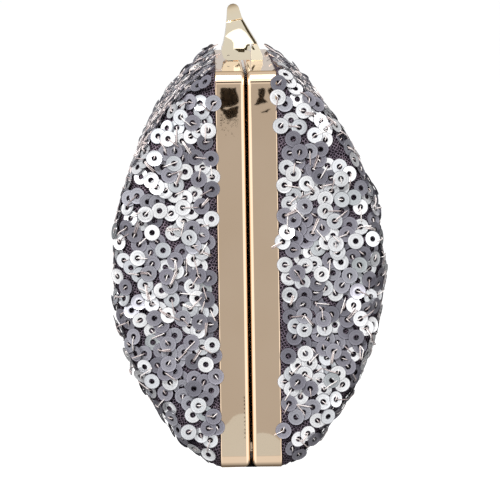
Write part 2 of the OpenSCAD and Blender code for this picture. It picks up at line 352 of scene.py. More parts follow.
def apply_modifiers(piece):
    """Swaps a piece's mesh for the one that its modifiers make."""
    graph = bpy.context.evaluated_depsgraph_get()
    made = bpy.data.meshes.new_from_object(piece.evaluated_get(graph))
    piece.modifiers.clear()
    made.name = piece.data.name
    piece.data = made


def dress(piece, body, slot, *replaced):
    """The piece rides on a body and may replace CAD nodes. The slot argument is not used."""
    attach(piece, body)
    if replaced:
        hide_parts(*replaced)
    return piece


def grid_faces(rows, columns):
    """Quads over a grid whose points come row by row."""
    step = columns + 1
    starts = [j * step + i for j in range(rows) for i in range(columns)]
    return [(a, a + 1, a + step + 1, a + step) for a in starts]


def ring_faces(rings, sides, first=0, closed=True):
    """Quads between rings of points, each joined to the next, and the last to the first if closed."""
    faces = []
    for p in range(rings if closed else rings - 1):
        near = first + p * sides
        far = first + (p + 1) % rings * sides
        for k in range(sides):
            m = (k + 1) % sides
            faces.append((near + k, near + m, far + m, far + k))
    return faces


def side_piece(name, verts, faces, side, material):
    """A mesh object from a half's own coordinates, where y is the distance from the middle plane."""
    verts = np.array(verts)
    verts[:, 1] *= side
    return mesh_piece(name, verts, faces if side > 0 else [f[::-1] for f in faces], material)


def give_values(piece, name, values):
    """Stores one number for each point, for a material to read."""
    layer = piece.data.attributes.new(name, "FLOAT", "POINT")
    layer.data.foreach_set("value", np.array(values, np.float32))


def give_uvs(piece, uvs):
    layer = piece.data.uv_layers.new(name="net")
    for loop in piece.data.loops:
        layer.data[loop.index].uv = uvs[loop.vertex_index]


def thicken(piece, thickness, offset):
    solid = piece.modifiers.new("thickness", "SOLIDIFY")
    solid.thickness = thickness * MM
    solid.offset = offset


def at_angle(radius, angle):
    """(out, z) that far from the drum's axis, at an angle up from level."""
    return radius * cos(angle) - AXIS, MID_Z + radius * sin(angle)


def skin_grid(depth, rim, around, along):
    """One surface of a half, depth below the sequin cloth's face, as points, net UVs and row count.

    Rows of points follow the drum's section along x, and the flat ends are filled with rows
    that run back to the rim.
    """
    fillet = DRUM_FILLET - depth
    low = RECESS + depth
    cap_rows = 14
    bend_rows = 10
    # A station is (radius, end, share of the way back along a flat end or along x, turn in a bend).
    stations = [(FLAT_R, -1, k / cap_rows, 0.0) for k in range(cap_rows, 0, -1)]
    for k in range(bend_rows):
        turn = pi / 2 * (1 - k / bend_rows)
        stations.append((FLAT_R + fillet * cos(turn), -1, 0, turn))
    far_end = [(radius, 1, where, turn) for radius, end, where, turn in reversed(stations)]
    stations += [(DRUM_R - depth, 0, 2 * k / along - 1, 0.0) for k in range(along + 1)]
    stations += far_end
    verts = []
    uvs = []
    for radius, end, where, turn in stations:
        reach = acos((AXIS + rim) / radius)
        for i in range(around + 1):
            angle = reach * (2 * i / around - 1)
            out, z = at_angle(radius, angle)
            z = min(max(z, low), FRAME_HEIGHT - low)
            if end == 0:
                x = STRAIGHT_HALF * where
                u = x
            elif where:
                x = end * (STRAIGHT_HALF + fillet)
                out = rim + (out - rim) * (1 - where)
                u = end * (STRAIGHT_HALF + 8 + (radius - AXIS - out))
            else:
                x = end * (STRAIGHT_HALF + fillet * sin(turn))
                u = end * (STRAIGHT_HALF + DRUM_FILLET * turn)
            verts.append((x, out, z))
            uvs.append((u, z if end and where else MID_Z + DRUM_R * angle))
    return verts, uvs, len(stations)


def skin_piece(name, depth, thickness, rim, side, material, around=96, along=110):
    """A closed thin layer of a half: a skin surface thickened inwards."""
    verts, uvs, rows = skin_grid(depth, rim, around, along)
    piece = side_piece(name, verts, grid_faces(rows - 1, around), side, material)
    give_uvs(piece, uvs)
    with editing(piece) as work:
        bmesh.ops.remove_doubles(work, verts=work.verts, dist=0.01 * MM)
        bmesh.ops.recalc_face_normals(work, faces=work.faces)
        middle = min(work.faces, key=lambda f: -abs(f.calc_center_median().y))
        if middle.normal.y * side < 0:
            bmesh.ops.reverse_faces(work, faces=work.faces)
    thicken(piece, thickness, -1)
    return piece


# -------- metal parts

PART_GAP = 0.3
LIP_BACK = 2.0
LIP_DEPTH = 4.6
CORNER_R = 3.1
HINGE_X = 62.0
HINGE_Z = 1.35
OPEN_BEVEL = 1.5

# Where the lever's pivot pin lies, as (y, height above the top rail).
PIVOT = (-3.7, 1.1)


def arc_points(centre, radius, start, end, steps):
    """Points along a circular arc, angles in degrees."""
    angles = [radians(start + (end - start) * k / steps) for k in range(steps + 1)]
    return [(centre[0] + radius * cos(a), centre[1] + radius * sin(a)) for a in angles]


def circle_points(centre, radius, count):
    return arc_points(centre, radius, 0, 360 * (count - 1) / count, count - 1)


def frame_profile():
    """The channel's section as (distance from the middle plane, depth below the outside)."""
    points = [(PART_GAP, 1.06)]
    points += [(x, 1.0 - y) for x, y in arc_points((PART_GAP + 1, 0), 1.0, 180, 90, 8)]
    points += [(PART_GAP + 1.06, 0), (FRAME_REACH - 0.34, 0)]
    points += [(x, 0.28 - y) for x, y in arc_points((FRAME_REACH - 0.28, 0), 0.28, 90, 0, 4)]
    points += [(FRAME_REACH, 0.34), (FRAME_REACH, 0.68), (FRAME_REACH - 0.12, FRAME_WALL)]
    points += [(LIP_BACK + 0.3, FRAME_WALL), (LIP_BACK, FRAME_WALL + 0.3)]
    points += [(LIP_BACK, LIP_DEPTH - 0.15), (LIP_BACK - 0.15, LIP_DEPTH)]
    points += [(PART_GAP + 0.15, LIP_DEPTH), (PART_GAP, LIP_DEPTH - 0.15)]
    return points


def frame_loop(depth):
    """The frame's outline drawn in by depth, as (x, z) points, with the same count at any depth."""
    radius = max(CORNER_R - depth, 1.0)
    w = HALF_LENGTH - depth - radius
    low = depth + radius
    high = FRAME_HEIGHT - low
    points = []
    for cx, cz, start in ((w, high, 90), (w, low, 0), (-w, low, -90), (-w, high, -180)):
        arc = arc_points((cx, cz), radius, start, start - 90, 12)
        # A point just before and just after each arc keeps the straight sides flat in shading.
        before, after = [
            (x + way * sin(radians(angle)), z - way * cos(radians(angle)))
            for (x, z), angle, way in ((arc[0], start, -0.1), (arc[-1], start - 90, 0.1))
        ]
        points += [before, *arc, after]
    return points


def clean(piece):
    """Merges doubled points and turns every face outwards."""
    with editing(piece) as work:
        bmesh.ops.remove_doubles(work, verts=work.verts, dist=0.002 * MM)
        bmesh.ops.dissolve_degenerate(work, edges=work.edges, dist=0.001 * MM)
        bmesh.ops.recalc_face_normals(work, faces=work.faces)


def prism(name, outline, axis, low, high, material=None):
    """A closed prism. The outline is in (y, z) if drawn out along x, or (x, z) along y."""
    count = len(outline)
    verts = [(end, a, b) if axis == "x" else (a, end, b) for end in (low, high) for a, b in outline]
    faces = [tuple(range(count)), tuple(reversed(range(count, 2 * count)))]
    faces += [(k, k + count, (k + 1) % count + count, (k + 1) % count) for k in range(count)]
    piece = mesh_piece(name, verts, faces, material)
    clean(piece)
    return piece


def cut(piece, tool, operation="DIFFERENCE"):
    """Applies a boolean with a tool object, which is then removed."""
    change = piece.modifiers.new("cut", "BOOLEAN")
    change.operation = operation
    change.solver = "EXACT"
    change.object = tool
    apply_modifiers(piece)
    bpy.data.objects.remove(tool)


def bevel(piece, width, angle):
    """Rounds a piece's sharp edges and keeps its flat faces flat in shading."""
    round_off = piece.modifiers.new("bevel", "BEVEL")
    round_off.width = width * MM
    round_off.segments = 3
    round_off.limit_method = "ANGLE"
    round_off.angle_limit = radians(angle)
    round_off.harden_normals = False
    weigh = piece.modifiers.new("normals", "WEIGHTED_NORMAL")
    weigh.keep_sharp = True
    piece.data.shade_smooth()


def frame_piece(name, side, material):
    """One half's gold channel: its section carried round the rounded outline."""
    profile = frame_profile()
    verts = []
    for across, depth in profile:
        for x, z in frame_loop(depth):
            # The meeting edge is bevelled along the base, where the halves turn past each other.
            push = max((OPEN_BEVEL - across - z) / 2, 0.0)
            verts.append((x, side * (across + push), z + push))
    faces = ring_faces(len(profile), len(verts) // len(profile))
    piece = mesh_piece(name, verts, faces, material)
    clean(piece)
    for x in (-HINGE_X, HINGE_X):
        cut(piece, prism("relief", circle_points((0, HINGE_Z), 1.4, 24), "x", x - 12.8, x + 12.8))
    piece.data.shade_smooth()
    piece.data.set_sharp_from_angle(angle=radians(32))
    return piece


def rail(points):
    """Points in (y, height above the top rail) as (y, z)."""
    return [(y, FRAME_HEIGHT + t) for y, t in points]


def both_ends(points):
    """An outline from its right-hand part, mirrored in x."""
    return points + [(-x, t) for x, t in reversed(points)]


def lever_piece(material):
    """The clasp's lever: an arched bar with a hollow underside, a grooved crease and a round tip."""
    side_outline = rail(
        arc_points((-2.3, 13.0), 1.6, 180, 12, 14)
        + [(0.0, 10.9), (1.9, 7.6), (3.85, 4.35), (1.9, 4.35), (1.9, 2.95), (-1.2, 2.95),
           (-1.2, 0.15), (-3.7, 0.12)]
        + arc_points(PIVOT, 1.0, 260, 215, 4)
        + [(-4.85, 0.64), (-5.1, 0.9), (-5.3, 1.7), (-5.55, 2.4), (-5.5, 3.0), (-5.25, 3.8),
           (-4.95, 4.8), (-4.6, 6.4), (-4.3, 8.4), (-4.05, 10.6)]
    )
    piece = prism("clasp_lever_shaped", side_outline, "x", -12.5, 12.5, material)
    # The arch seen from the front: leaning ends, a notch at the crease and a rounded top.
    arch = [(11.5, -3.0), (10.7, 10.65), (10.45, CREASE_T), (10.55, 11.05)]
    top = [10.45 * (1 - k / 20) for k in range(1, 40)]
    outline = arch + [(x, 15.2 - 4.0 * (x / 10.45) ** 2) for x in top]
    outline += [(-x, t) for x, t in reversed(arch)]
    arched = prism("arch", rail(outline), "y", -10, 10)
    for vertex in arched.data.vertices:
        vertex.co.z += CREASE_SLOPE * vertex.co.y
    cut(piece, arched, "INTERSECT")
    cavity = prism("cavity", rail([
        (-3.7, -1.0), (-3.7, 2.2), (-3.75, 2.9), (-3.1, 7.0), (1.2, 7.0), (2.75, 4.2), (2.75, -1.0),
    ]), "x", -10, 10)
    cut(cavity, prism("heel", rail(circle_points(PIVOT, 1.0, 24)), "x", -11, 11))
    cut(piece, cavity)
    for low, high in ((-9.8, -7.4), (-3.4, 3.4), (7.4, 9.8)):
        window = rail([(-8, -1), (-2.6, -1), (-2.6, 2.3), (-8, 2.3)])
        cut(piece, prism("window", window, "x", low, high))
    bevel(piece, 0.16, 24)
    return piece


def base_piece(material):
    """The clasp's base: a low block with a rounded nose and two ears round the pivot pin."""
    block = rail(
        [(-2.5, 0.0), (-0.5, 0.0), (-0.3, 0.15), (1.7, 0.15), (1.95, 0.4)]
        + arc_points((1.0, 1.7), 0.98, -5, 90, 8)
        + [(-2.5, 2.7)]
    )
    piece = prism("clasp_base_shaped", block, "x", -9.8, 9.8, material)
    ends = rail(both_ends([(9.8, -0.5), (9.58, 3.2)]))
    cut(piece, prism("ends", ends, "y", -9, 9), "INTERSECT")
    for low, high in ((-9.6, -7.6), (7.6, 9.6)):
        ear = rail(arc_points(PIVOT, 0.99, 90, 270, 12) + [(-2.3, 0.11), (-2.3, 2.09)])
        cut(piece, prism("ear", ear, "x", low, high), "UNION")
    bevel(piece, 0.14, 30)
    return piece


def catch_piece(material):
    """The catch on the back frame: a round-topped nub that the lever bites over."""
    outline = rail(
        [(5.1, 0.0), (5.1, 1.2), (4.55, 2.55)]
        + arc_points((3.25, 3.28), 0.92, 35, 165, 10)
        + [(2.15, 2.9), (2.15, 0.0)]
    )
    piece = prism("clasp_catch_shaped", outline, "x", -10.8, 10.8, material)
    ends = rail(both_ends([(10.85, -0.5), (10.41, 4.4)]))
    cut(piece, prism("ends", ends, "y", -9, 9), "INTERSECT")
    bevel(piece, 0.14, 30)
    return piece


def make_metal(materials):
    """Frames and clasp, in place of their CAD nodes."""
    for half, body, side in HALVES:
        piece = frame_piece(f"{half}_channel", side, materials["gold"])
        dress(piece, body, "frame_gold", f"{half}_frame")
    gold = materials["clasp_gold"]
    dress(lever_piece(gold), "lever", "clasp_gold", "clasp_lever")
    dress(base_piece(gold), "front_half", "clasp_gold", "clasp_base")
    dress(catch_piece(gold), "back_half", "clasp_gold", "clasp_catch")


# -------- sequins

SEQUIN_R = 2.0
HOLE_R = 0.66
SEQUIN_SECTORS = 18
SEQUIN_GAP = 0.10
SEQUIN_PROFILE = [(HOLE_R, -0.05), (HOLE_R, 0.01), (1.3, -0.035), (1.96, 0.045), (SEQUIN_R, -0.03)]
SEQUINS_PER_HALF = 2560
CHAIN_STEP = (2.0, 2.9)
CHAIN_LENGTHS = (1, 2, 2, 3, 4, 4, 5)
CHAIN_TRIES = 9000
ALL_TRIES = 60000
EARLY_GAP = 2.45
LATE_GAP = 2.2
NEIGHBOUR_REACH = 4.5
CLEAR_OF_CHAIN = 1.95
LEAST_STEP = 1.9

# How each sequin lies: heights above the cloth's face, the gold and the base, and how far it tilts.
LEAST_HEIGHT = 0.25
OVER_GOLD = 0.09
OVER_BASE = 0.12
FIRST_HEIGHT = 0.48
MOST_HEIGHT = 1.95
MOST_TILT = 0.42
TILT_SHARE = 0.55

# Running areas of a half's face, in thousands of square millimetres.
DRUM_AREA = 18.6
BENDS_AREA = 20.25
WHOLE_AREA = 22.55


def on_drum(x, out, z):
    """The nearest point of the cloth's face to (x, out, z), and the outward normal there."""
    from_axis = hypot(out + AXIS, z - MID_Z)
    away_out = (out + AXIS) / from_axis
    away_z = (z - MID_Z) / from_axis
    end = 1 if x > 0 else -1
    over_r = from_axis - FLAT_R
    over_x = abs(x) - STRAIGHT_HALF
    lean_r, lean_x = 1.0, 0.0
    radius = DRUM_R
    if over_x > 0 and over_r > 0:
        reach = hypot(over_r, over_x)
        lean_r, lean_x = over_r / reach, over_x / reach
        radius = FLAT_R + DRUM_FILLET * lean_r
        x = end * (STRAIGHT_HALF + DRUM_FILLET * lean_x)
    elif over_x > 0:
        lean_r, lean_x = 0.0, 1.0
        radius = from_axis
        x = end * DRUM_HALF
    point = np.array([x, radius * away_out - AXIS, MID_Z + radius * away_z])
    normal = np.array([end * lean_x, lean_r * away_out, lean_r * away_z])
    return point, normal


def unit(vector):
    return vector / norm(vector)


def tangents(normal):
    """Two unit vectors at right angles to a normal."""
    u = unit(np.cross((0.0, 0.0, 1.0) if abs(normal[2]) < 0.9 else (1.0, 0.0, 0.0), normal))
    return u, np.cross(normal, u)


def turned(u, v, angle):
    """The direction at an angle from u towards v."""
    return u * cos(angle) + v * sin(angle)


def on_cloth(point):
    """True where a sequin can be sewn: on the cloth, and near the rim only here and there."""
    x, out, z = point
    patchy = sin(0.93 * z + 1.1 + out) + sin(0.41 * z + 0.43 * x) + sin(0.77 * x + 2.0)
    margin = 0.1 if z > 88 else 0.7 + 0.45 * patchy
    return out > CLOTH_RIM + margin and 1.2 < z < 96.2


def random_start(dice):
    """A random point of one half's face, evenly spread by area."""
    region = dice.random() * WHOLE_AREA
    if region < DRUM_AREA:
        spot = at_angle(DRUM_R, dice.uniform(-0.915, 0.915))
        return on_drum(dice.uniform(-STRAIGHT_HALF, STRAIGHT_HALF), *spot)
    end = dice.choice((-1, 1))
    if region < BENDS_AREA:
        turn = dice.uniform(0, pi / 2)
        spot = at_angle(FLAT_R + DRUM_FILLET * cos(turn), dice.uniform(-0.95, 0.95))
        return on_drum(end * (STRAIGHT_HALF + DRUM_FILLET * sin(turn)), *spot)
    while True:
        out = dice.uniform(CLOTH_RIM, 27)
        z = dice.uniform(5, 91)
        if hypot(out + AXIS, z - MID_Z) < FLAT_R:
            return on_drum(end * DRUM_HALF, out, z)


class Cells:
    """Items in a grid of cubes, to find those near a point."""

    def __init__(self, size):
        self.size = size
        self.items = {}

    def key(self, point):
        return tuple(int(floor(c / self.size)) for c in point)

    def add(self, point, item):
        self.items.setdefault(self.key(point), []).append(item)

    def near(self, point):
        a, b, c = self.key(point)
        shifts = itertools.product((-1, 0, 1), repeat=3)
        return [item for i, j, k in shifts for item in self.items.get((a + i, b + j, c + k), ())]


def scatter_chains(dice):
    """Places sequins in short overlapping chains of one colour: (point, normal, is_silver, tone)."""
    cells = Cells(4.0)
    placed = []

    def clear(point, least, skip=-1):
        near = (placed[i][0] for i in cells.near(point) if i != skip)
        return all(norm(other - point) >= least for other in near)

    for tries in range(1, ALL_TRIES + 1):
        if len(placed) >= SEQUINS_PER_HALF:
            break
        early = tries < CHAIN_TRIES
        point, normal = random_start(dice)
        if not on_cloth(point) or not clear(point, EARLY_GAP if early else LATE_GAP):
            continue
        near = [i for i in cells.near(point) if norm(placed[i][0] - point) < NEIGHBOUR_REACH]
        silver_near = sum(1 for i in near if placed[i][2])
        silver = dice.random() < (0.60 - 0.20 * silver_near / len(near) if near else 0.50)
        length = dice.choice(CHAIN_LENGTHS) if early else 1
        heading = dice.uniform(0, 2 * pi)
        base_tone = dice.random()
        for _ in range(length):
            last = len(placed)
            cells.add(point, last)
            placed.append((point, normal, silver, min(max(base_tone + dice.gauss(0, 0.12), 0), 1)))
            heading += dice.gauss(0, 0.45)
            ahead = point + dice.uniform(*CHAIN_STEP) * turned(*tangents(normal), heading)
            point, normal = on_drum(*ahead)
            if not on_cloth(point) or not clear(point, CLEAR_OF_CHAIN, last):
                break
            step = norm(point - placed[last][0])
            if step < LEAST_STEP or len(placed) >= SEQUINS_PER_HALF:
                break
    return placed


def disc_samples():
    """Points over a sequin's face where its height is compared with the others."""
    rings = [circle_points((0, 0), radius, count) for radius, count in ((1.1, 6), (2.0, 14))]
    return np.array([(0.0, 0.0), *rings[0], *rings[1]])


def frame_needs(points, normal):
    """Height along normal that points over the frame's edge need, so that they lie on the gold."""
    over = points[:, 1] < FRAME_REACH + 0.15
    needs = np.full(len(points), LEAST_HEIGHT)
    best = np.full(len(points), 1e3)
    if abs(normal[0]) > 0.2:
        best = np.minimum(best, (HALF_LENGTH + OVER_GOLD - np.abs(points[:, 0])) / abs(normal[0]))
    if abs(normal[2]) > 0.2:
        z = points[:, 2]
        edge = FRAME_HEIGHT + OVER_GOLD - z if normal[2] > 0 else z + OVER_GOLD
        best = np.minimum(best, edge / abs(normal[2]))
    needs[over] = np.maximum(needs[over], best[over])
    return needs


def over_disc(offsets, u, v):
    """Offsets along u and v, and which of them lie over a sequin there."""
    along = np.stack([offsets @ u, offsets @ v], 1)
    return along, np.hypot(along[:, 0], along[:, 1]) < SEQUIN_R + 0.12


def lowest_plane(spots, needs, dice):
    """The height and tilt of a loosely laid disc that clears the height needed at every spot."""
    height = FIRST_HEIGHT
    loose = 0.16 if dice.random() < 0.16 else 0.07
    tilt = np.array([dice.gauss(0, loose), dice.gauss(0, loose)])
    for _ in range(50):
        short = needs - height - spots @ tilt
        worst = int(np.argmax(short))
        if short[worst] < 0.01:
            break
        spot = spots[worst]
        share = short[worst] / (1 + float(spot @ spot) * TILT_SHARE)
        height += share
        tilt = tilt + share * TILT_SHARE * spot
        steep = float(norm(tilt))
        if steep > MOST_TILT:
            tilt *= MOST_TILT / steep
    height += max(0.0, float((needs - height - spots @ tilt).max()))
    return height, tilt


def settle(placed, dice):
    """Lays each sequin over those sewn before it. Gives a list of dicts with its plane."""
    samples = disc_samples()
    cells = Cells(4.2)
    laid = []
    for point, normal, silver, tone in placed:
        u, v = tangents(normal)
        local = point + np.outer(samples[:, 0], u) + np.outer(samples[:, 1], v)
        spots = [samples]
        needs = [frame_needs(local, normal)]
        for other in (laid[i] for i in cells.near(point)):
            if norm(other["point"] - point) > 2 * SEQUIN_R + 0.1:
                continue
            apart = local - other["point"]
            along, covered = over_disc(apart, other["u"], other["v"])
            if covered.any():
                rise = other["height"] + along[covered] @ other["tilt"]
                foot = apart[covered] @ other["normal"]
                slope = max(float(normal @ other["normal"]), 0.3)
                spots.append(samples[covered])
                needs.append((rise - foot) / slope + SEQUIN_GAP)
            face = other["face"] - point
            along, covered = over_disc(face, u, v)
            if covered.any():
                spots.append(along[covered])
                needs.append((face[covered] @ normal) + SEQUIN_GAP)
        height, tilt = lowest_plane(np.concatenate(spots), np.concatenate(needs), dice)
        face = local + np.outer(height + samples @ tilt, normal)
        if height > MOST_HEIGHT or face[:, 2].min() < OVER_BASE:
            continue
        cells.add(point, len(laid))
        laid.append({
            "point": point, "normal": normal, "u": u, "v": v, "height": height, "tilt": tilt,
            "face": face, "silver": silver, "tone": tone,
        })
    return laid


def sequin_plane(sequin):
    """A sequin's centre and its own axes."""
    normal, u, v = sequin["normal"], sequin["u"], sequin["v"]
    axis_u = unit(u + sequin["tilt"][0] * normal)
    facing = unit(np.cross(axis_u, v + sequin["tilt"][1] * normal))
    return sequin["point"] + sequin["height"] * normal, axis_u, np.cross(facing, axis_u), facing


def sequin_piece(name, sequins, side, material, dice):
    """One mesh of many sequins, each a thin closed ring with a shallow groove."""
    count = SEQUIN_SECTORS
    steps = len(SEQUIN_PROFILE)
    verts = []
    faces = []
    for n, sequin in enumerate(sequins):
        centre, u, v, facing = sequin_plane(sequin)
        angles = dice.uniform(0, pi) + np.arange(count) * 2 * pi / count
        spokes = np.outer(np.cos(angles), u) + np.outer(np.sin(angles), v)
        verts += [centre + radius * spokes + lift * facing for radius, lift in SEQUIN_PROFILE]
        faces += ring_faces(steps, count, n * count * steps)
    piece = side_piece(name, np.concatenate(verts), faces, side, material)
    across = [(radius - HOLE_R) / (SEQUIN_R - HOLE_R) for radius, lift in SEQUIN_PROFILE]
    give_values(piece, "tone", np.repeat([s["tone"] for s in sequins], count * steps))
    give_values(piece, "ring", np.tile(np.repeat(across, count), len(sequins)))
    piece.data.set_sharp_from_angle(angle=radians(25))
    return piece


# -------- threads

THREAD_R = 0.14
THREAD_SIDES = 5
STITCH_STEPS = 8
STRAND_GAP = 0.42
ANCHOR_TRIES = 2400
ANCHOR_GAP = 4.6
STITCH_REACH = 4.2


def cover_height(point, cells, laid):
    """How far above the cloth the highest sequin over a point lies."""
    top = 0.0
    for other in (laid[i] for i in cells.near(point)):
        apart = point - other["point"]
        x = float(apart @ other["u"])
        y = float(apart @ other["v"])
        if hypot(x, y) < SEQUIN_R + 0.1:
            rise = other["height"] + x * other["tilt"][0] + y * other["tilt"][1]
            top = max(top, rise - float(apart @ other["normal"]) + 0.06)
    return top


def taut(heights):
    """The heights of a thread pulled tight over evenly spaced heights, from its first to its last."""
    last = len(heights) - 1
    held = [0]
    while held[-1] != last:
        here = held[-1]
        slopes = [(heights[k] - heights[here]) / (k - here) for k in range(here + 1, last + 1)]
        held.append(here + 1 + max(range(len(slopes)), key=lambda n: (slopes[n], n)))
    return list(np.interp(range(last + 1), held, [heights[k] for k in held]))


def stitch_paths(laid, dice):
    """The visible run of each stitch, from a sequin's hole over its rim and down into the net."""
    cells = Cells(4.2)
    anchors = Cells(5.0)
    for i, sequin in enumerate(laid):
        cells.add(sequin["point"], i)
    for _ in range(ANCHOR_TRIES):
        point = random_start(dice)[0]
        if on_cloth(point) and all(norm(a - point) > ANCHOR_GAP for a in anchors.near(point)):
            anchors.add(point, point)
    paths = []
    for sequin in laid:
        start = sequin["point"]
        choice = dice.random()
        # Fewer stitches show on the top and the base.
        if choice < (0.84 if abs(sequin["normal"][2]) > 0.55 else 0.62):
            continue
        near = [a for a in anchors.near(start) if 1.6 < norm(a - start) < STITCH_REACH]
        if near and choice < 0.78:
            end = min(near, key=lambda a: float(norm(a - start)))
            end = end + np.array([dice.gauss(0, 0.15) for _ in range(3)])
        else:
            angle = dice.uniform(0, 2 * pi)
            end = start + dice.uniform(2.2, STITCH_REACH) * turned(sequin["u"], sequin["v"], angle)
        double = dice.random() < 0.22
        across = np.cross(sequin["normal"], end - start)
        across /= max(norm(across), 1e-6)
        for strand in ((-0.5, 0.5) if double else (0.0,)):
            side_step = across * strand * STRAND_GAP
            feet = []
            heights = []
            for t in (k / STITCH_STEPS for k in range(STITCH_STEPS + 1)):
                foot, normal = on_drum(*(start + (end - start) * t + side_step * (0.5 + t * 0.5)))
                over = cover_height(foot, cells, laid) + THREAD_R * 0.8
                feet.append((foot, normal))
                heights.append(max(over, 0.6) if foot[1] < FRAME_REACH + 0.3 else over)
            heights[0] = max(heights[0] - 0.30, 0.0)
            heights[-1] = 0.02 if heights[-1] < 0.3 else heights[-1] - 0.12
            line = [foot + normal * lift for (foot, normal), lift in zip(feet, taut(heights))]
            if min(p[2] for p in line) >= 0.3:
                paths.append((line, dice.random()))
    return paths


def tack_paths(laid, dice):
    """Short tack stitches that come up through a sequin's hole and hold its inner edge."""
    paths = []
    for sequin in laid:
        if dice.random() < 0.42:
            continue
        centre, u, v, facing = sequin_plane(sequin)
        angle = dice.uniform(0, 2 * pi)
        along = turned(u, v, angle)
        across = u * sin(angle) - v * cos(angle)
        bow = dice.uniform(-0.25, 0.25)
        steps = [(-0.35, -0.12), (0.05, 0.05), (0.5, 0.14), (dice.uniform(0.85, 1.25), 0.03)]
        line = [centre + along * r + across * bow * r + facing * h for r, h in steps]
        paths.append((line, dice.uniform(0.35, 1.0)))
    return paths


def thread_piece(name, paths, side, material):
    """All of a half's stitches as thin closed tubes."""
    sides = THREAD_SIDES
    guide = np.array([0.31, 0.83, 0.46])
    verts = []
    tones = []
    faces = []
    for line, tone in paths:
        line = np.array(line)
        base = len(verts)
        last = len(line) - 1
        run = np.gradient(line, axis=0)
        run /= norm(run, axis=1)[:, None]
        for k, spot in enumerate(line):
            u = unit(np.cross(run[k], guide))
            v = np.cross(run[k], u)
            radius = THREAD_R * (0.55 if k in (0, last) else 1.0)
            verts += [spot + radius * turned(u, v, 2 * pi * s / sides) for s in range(sides)]
            tones += [min(max(tone + 0.25 * (0.5 - k / (last + 1)), 0), 1)] * sides
        faces += ring_faces(last + 1, sides, base, closed=False)
        faces.append(tuple(reversed(range(base, base + sides))))
        faces.append(tuple(range(base + last * sides, len(verts))))
    piece = side_piece(name, verts, faces, side, material)
    give_values(piece, "tone", tones)
    return piece


# -------- the halves

def make_sequins(name, body, side, seed, materials):
    """Sequins and stitches of one half."""
    dice = random.Random(seed)
    laid = settle(scatter_chains(dice), dice)
    for film, silver in (("silver", True), ("lilac", False)):
        for end, right in (("right", True), ("left", False)):
            chosen = [s for s in laid if s["silver"] == silver and (s["point"][0] > 0) == right]
            title = f"{name}_{end}_{film}_sequins"
            dress(sequin_piece(title, chosen, side, materials[film], dice), body, "sequin_cloth")
    paths = stitch_paths(laid, dice) + tack_paths(laid, dice)
    threads = thread_piece(f"{name}_stitches", paths, side, materials["thread"])
    dress(threads, body, "sequin_cloth")


def wrinkle(piece, height):
    """Soft folds: moves each point inwards by up to height, along x more slowly than across it."""
    normals = [v.normal.copy() for v in piece.data.vertices]
    for vertex, normal in zip(piece.data.vertices, normals):
        x, y, z = vertex.co / MM
        fold = mathutils.noise.noise(Vector((x * 0.035, y * 0.11, z * 0.11)))
        fold += 0.5 * mathutils.noise.noise(Vector((x * 0.09 + 7, y * 0.24, z * 0.24)))
        push = min(max(0.5 + fold * 0.9, 0.0), 1.0) * height
        vertex.co -= normal * push * MM


POCKET_HALF = 55.0
POCKET_LOW = 12.0
POCKET_HIGH = 60.0
POCKET_HEM = 3.0
POCKET_SEAM = 53.6
POCKET_MOUTH = POCKET_HIGH - POCKET_HEM + 0.5
STITCH_PITCH = 2.8


def pocket_depth(x, z):
    """How deep below the sequin cloth's face the pocket lies: on the lining at its hems, with
    room inside it elsewhere and a little slack at the mouth."""
    to_side = POCKET_HALF - abs(x)
    to_base = z - POCKET_LOW
    rise = min(max((min(to_side, to_base) - 1.0) / POCKET_HEM, 0.0), 1.0)
    rise = rise * rise * (3 - 2 * rise)
    up = to_base / (POCKET_HIGH - POCKET_LOW)
    slack = 0.55 * cos(x / POCKET_HALF * pi / 2) * up ** 2
    ripple = 0.16 * sin(x * 0.21 + 0.6) * up
    return 3.52 + rise * (0.68 + slack + ripple)


def pocket_spot(x, z, over=0.0):
    """A point of the pocket's outer face on the back half, over that far towards the room."""
    radius = DRUM_R - pocket_depth(x, z) - over
    return (x, at_angle(radius, asin((z - MID_Z) / radius))[0], z)


def pocket_stitches():
    """Even stitches along the pocket's hem and its three sewn sides."""
    low = 13.4
    high = 58.5
    lines = [(-52.5, POCKET_MOUTH, 52.5, POCKET_MOUTH), (-POCKET_SEAM, high, -POCKET_SEAM, low),
             (-POCKET_SEAM, low, POCKET_SEAM, low), (POCKET_SEAM, low, POCKET_SEAM, high)]
    paths = []
    for x0, z0, x1, z1 in lines:
        hem = 0.2 if z0 == POCKET_MOUTH else 0.0
        count = int(hypot(x1 - x0, z1 - z0) / STITCH_PITCH)
        for k in range(count):
            path = []
            for t, lift in ((0.08, 0.1), (0.25, 0.34), (0.5, 0.34), (0.75, 0.34), (0.92, 0.1)):
                at = (k + 0.1 + 0.8 * t) / count
                path.append(pocket_spot(x0 + (x1 - x0) * at, z0 + (z1 - z0) * at, lift + hem))
            paths.append((path, 0.5))
    return paths


def make_pocket(materials):
    """A slip pocket on the back lining, sewn down on three sides, with a hemmed mouth."""
    across = 110
    up = 48
    verts = []
    for j in range(up + 1):
        z = POCKET_LOW + (POCKET_HIGH - POCKET_LOW) * j / up
        hem = 0.22 if z > POCKET_HIGH - POCKET_HEM else 0.0
        verts += [pocket_spot(POCKET_HALF * (2 * i / across - 1), z, hem) for i in range(across + 1)]
    faces = [(a, d, c, b) for a, b, c, d in grid_faces(up, across)]
    pocket = mesh_piece("slip_pocket_satin", verts, faces, materials["satin"])
    give_uvs(pocket, [(x, z) for x, y, z in verts])
    thicken(pocket, 0.3, 0)
    dress(pocket, "back_half", "lining_satin", "slip_pocket")
    stitches = thread_piece("pocket_stitches", pocket_stitches(), 1, materials["grey_thread"])
    dress(stitches, "back_half", "lining_satin")


